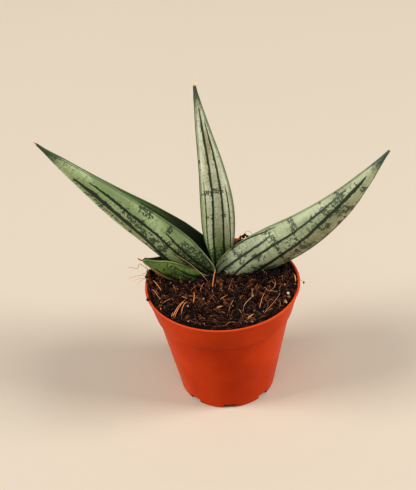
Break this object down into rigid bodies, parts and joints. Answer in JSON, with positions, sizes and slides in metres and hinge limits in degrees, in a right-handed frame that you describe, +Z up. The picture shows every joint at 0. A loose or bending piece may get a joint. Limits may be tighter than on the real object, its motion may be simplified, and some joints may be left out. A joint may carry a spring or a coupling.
{
  "type": "potted snake plant",
  "caption": "Small snake plant with channelled, pointed leaves in a tapered plastic nursery pot filled with coir potting mix.",
  "frame": {"origin": "on the pot's axis, at the level that the pot stands on", "axes": "+Z up along the pot's axis, +X towards the tip of the right-hand leaf, -Y towards the viewer of the front"},
  "size_m": [0.1144, 0.055, 0.1171],
  "materials": {
    "pot_plastic": "satin moulded terracotta-orange plastic",
    "potting_mix": "damp dark coir mix with orange-brown fibres",
    "crown": "matt corky rhizome",
    "leaf": "waxy grey-green with dark lengthwise lines and mottling",
    "young_leaf": "waxy fresh green with dark lines"
  },
  "bodies": {
    "root": {"pot": "pot_plastic", "soil": "potting_mix", "crown": "crown", "leaf_middle": "leaf", "leaf_right": "leaf", "leaf_left": "leaf", "leaf_small": "young_leaf"}
  },
  "joints": []
}
